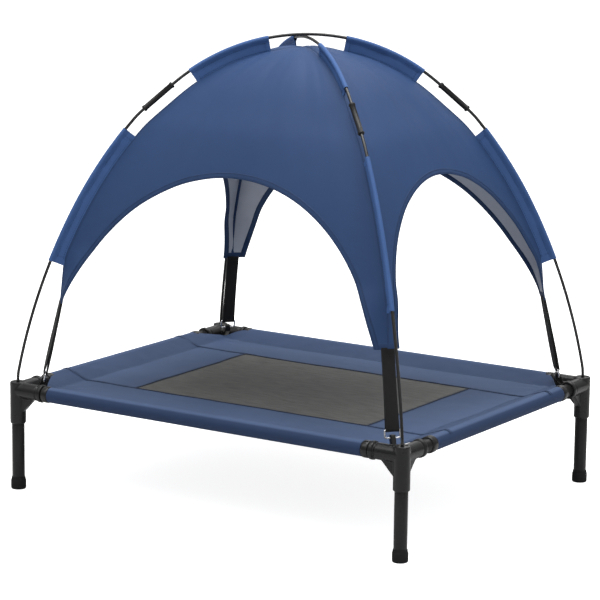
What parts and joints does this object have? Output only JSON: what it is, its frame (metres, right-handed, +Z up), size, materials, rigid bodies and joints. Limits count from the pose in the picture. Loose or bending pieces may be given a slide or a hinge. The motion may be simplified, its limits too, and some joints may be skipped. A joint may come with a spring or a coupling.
{
  "type": "dog bed with frame",
  "caption": "Raised pet bed: a fabric and mesh sling on a tube frame with corner legs, shaded by an arched fabric canopy on crossed bent poles held down by elastic straps.",
  "frame": {"origin": "on the floor under the middle of the bed", "axes": "+X along the long side, -Y towards the front long side, +Z up"},
  "size_m": [0.7624, 0.6124, 0.7524],
  "materials": {
    "frame_moulding": "fine-grained black moulding",
    "collar_moulding": "smooth black moulding",
    "leg_enamel": "satin black powder coat",
    "rail_enamel": "satin black powder coat",
    "foot_rubber": "matte black rubber",
    "bed_fabric": "navy woven polyester",
    "bed_mesh": "dark grey open mesh",
    "canopy_fabric": "navy coated polyester",
    "sleeve_fabric": "navy coated polyester",
    "strap_elastic": "black elastic webbing",
    "ring_steel": "bright nickel plate",
    "ferrule_steel": "black enamel",
    "end_tip_steel": "plain steel",
    "pole_rod": "black glass-fibre rod"
  },
  "bodies": {
    "frame": {"corner_connector_front_left": "frame_moulding", "corner_connector_front_right": "frame_moulding", "corner_connector_rear_right": "frame_moulding", "corner_connector_rear_left": "frame_moulding", "leg_tube_front_left": "leg_enamel", "leg_tube_front_right": "leg_enamel", "leg_tube_rear_right": "leg_enamel", "leg_tube_rear_left": "leg_enamel", "foot_cap_front_left": "foot_rubber", "foot_cap_front_right": "foot_rubber", "foot_cap_rear_right": "foot_rubber", "foot_cap_rear_left": "foot_rubber", "rail_tube_front": "rail_enamel", "rail_tube_rear": "rail_enamel", "rail_tube_left": "rail_enamel", "rail_tube_right": "rail_enamel", "rail_collars_front": "collar_moulding", "rail_collars_rear": "collar_moulding", "rail_collars_left": "collar_moulding", "rail_collars_right": "collar_moulding", "sling_strip_front": "bed_fabric", "sling_strip_rear": "bed_fabric", "sling_strip_left": "bed_fabric", "sling_strip_right": "bed_fabric", "sling_mesh_panel": "bed_mesh", "strap_ring_front_left": "ring_steel", "strap_ring_front_right": "ring_steel", "strap_ring_rear_right": "ring_steel", "strap_ring_rear_left": "ring_steel"},
    "canopy": {"elastic_strap_front_left": "strap_elastic", "elastic_strap_front_right": "strap_elastic", "elastic_strap_rear_right": "strap_elastic", "elastic_strap_rear_left": "strap_elastic", "crown_rod_top": "pole_rod", "crown_rod_under": "pole_rod", "lower_rod_front_left": "pole_rod", "lower_rod_front_right": "pole_rod", "lower_rod_rear_right": "pole_rod", "lower_rod_rear_left": "pole_rod", "pole_ferrule_front_left": "ferrule_steel", "pole_ferrule_front_right": "ferrule_steel", "pole_ferrule_rear_right": "ferrule_steel", "pole_ferrule_rear_left": "ferrule_steel", "pole_end_tip_front_left": "end_tip_steel", "pole_end_tip_front_right": "end_tip_steel", "pole_end_tip_rear_right": "end_tip_steel", "pole_end_tip_rear_left": "end_tip_steel", "pole_sleeve_front_left_upper": "sleeve_fabric", "pole_sleeve_front_left_lower": "sleeve_fabric", "pole_sleeve_front_right_upper": "sleeve_fabric", "pole_sleeve_front_right_lower": "sleeve_fabric", "pole_sleeve_rear_right_upper": "sleeve_fabric", "pole_sleeve_rear_right_lower": "sleeve_fabric", "pole_sleeve_rear_left_upper": "sleeve_fabric", "pole_sleeve_rear_left_lower": "sleeve_fabric", "canopy_panel_front": "canopy_fabric", "canopy_panel_rear": "canopy_fabric", "canopy_panel_left": "canopy_fabric", "canopy_panel_right": "canopy_fabric"}
  },
  "joints": [
    {"name": "canopy_lift", "type": "slide", "parent": "frame", "child": "canopy", "axis": [0, 0, 1], "range_m": [0, 0.04], "stiffness_N_per_m": 400, "springref_m": -0.02, "deforming": ["elastic_strap_front_left", "elastic_strap_front_right", "elastic_strap_rear_right", "elastic_strap_rear_left"]}
  ]
}
